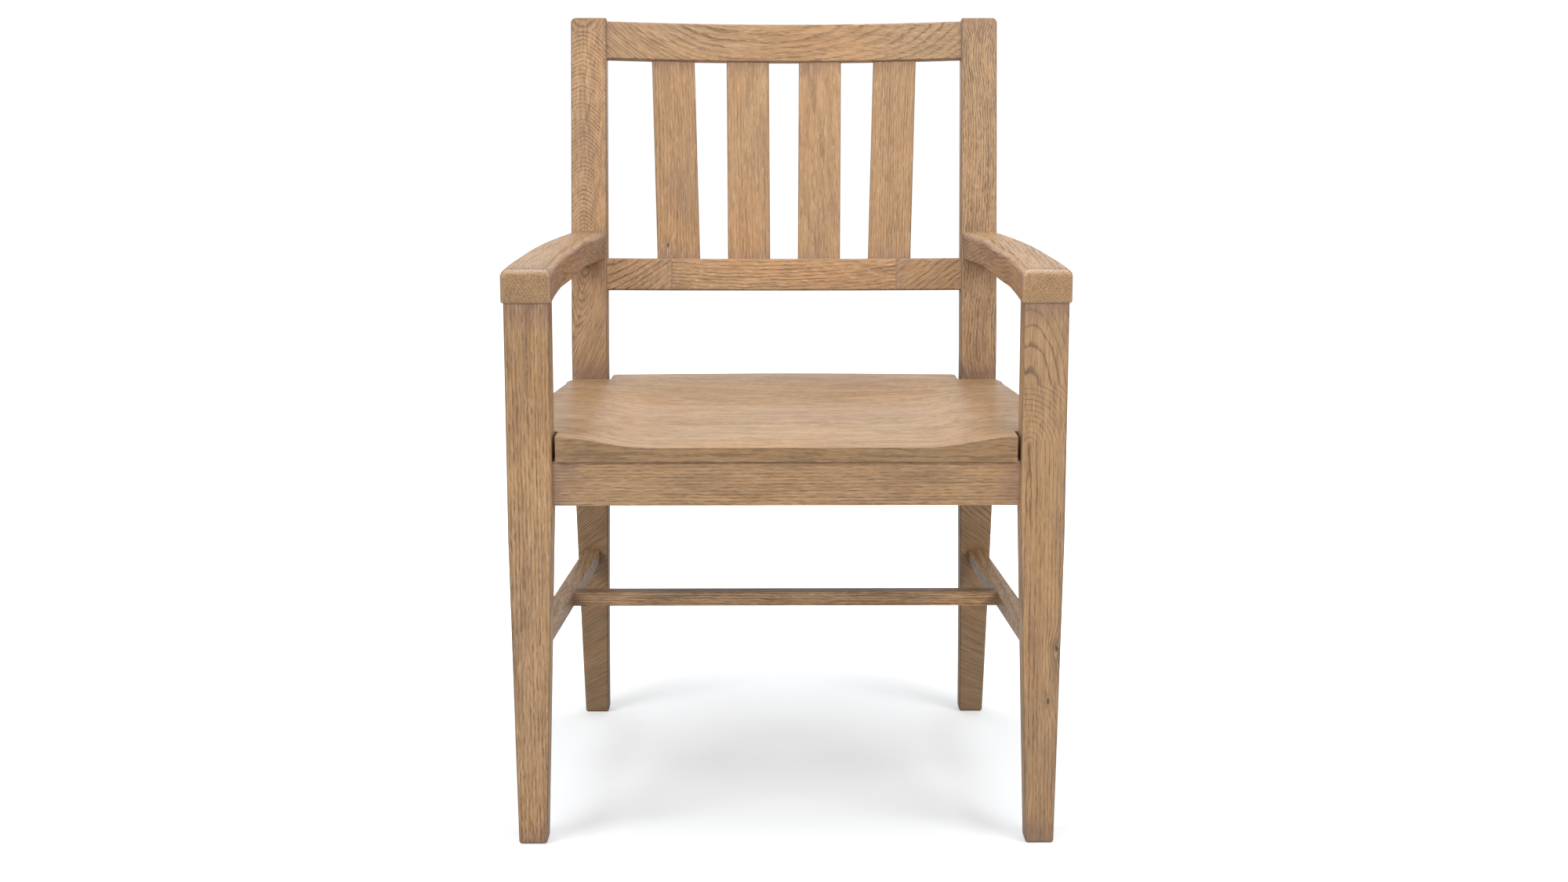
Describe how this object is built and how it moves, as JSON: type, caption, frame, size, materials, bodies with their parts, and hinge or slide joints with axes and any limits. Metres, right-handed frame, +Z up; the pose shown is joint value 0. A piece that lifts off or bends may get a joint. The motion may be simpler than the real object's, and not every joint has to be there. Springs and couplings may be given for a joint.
{
  "type": "wooden dining armchair",
  "caption": "Solid oak dining armchair with curved arms, a dished plank seat, a bowed slatted back, tapered legs and an H stretcher.",
  "frame": {"origin": "on the floor, under the middle of the chair's bounding box", "axes": "+Z up, +Y to the chair's back, +X to the right when looking at the chair from the front"},
  "size_m": [0.616, 0.5343, 0.9327],
  "materials": {
    "oak_frame": "satin weathered oak with open grain",
    "oak_seat": "satin oak, smooth sanded",
    "block_wood": "unfinished hardwood",
    "dowel_wood": "plain beech",
    "screw_steel": "zinc plated"
  },
  "bodies": {
    "root": {"left_front_leg": "oak_frame", "right_front_leg": "oak_frame", "left_rear_post": "oak_frame", "right_rear_post": "oak_frame", "left_arm": "oak_frame", "right_arm": "oak_frame", "crest_rail": "oak_frame", "lower_back_rail": "oak_frame", "left_lower_rail_end_block": "oak_frame", "right_lower_rail_end_block": "oak_frame", "left_inner_slat": "oak_frame", "right_inner_slat": "oak_frame", "left_outer_slat": "oak_frame", "right_outer_slat": "oak_frame", "left_side_stretcher": "oak_frame", "right_side_stretcher": "oak_frame", "cross_stretcher": "oak_frame", "front_apron": "oak_frame", "rear_apron": "oak_frame", "left_side_apron": "oak_frame", "right_side_apron": "oak_frame", "seat_board_front": "oak_seat", "seat_board_middle_front": "oak_seat", "seat_board_middle_rear": "oak_seat", "seat_board_rear": "oak_seat", "left_front_corner_block": "block_wood", "right_front_corner_block": "block_wood", "left_rear_corner_block": "block_wood", "right_rear_corner_block": "block_wood", "front_apron_dowels": "dowel_wood", "rear_apron_dowels": "dowel_wood", "side_apron_dowels": "dowel_wood", "arm_dowels": "dowel_wood", "corner_block_screws": "screw_steel", "seat_screws": "screw_steel"}
  },
  "joints": []
}
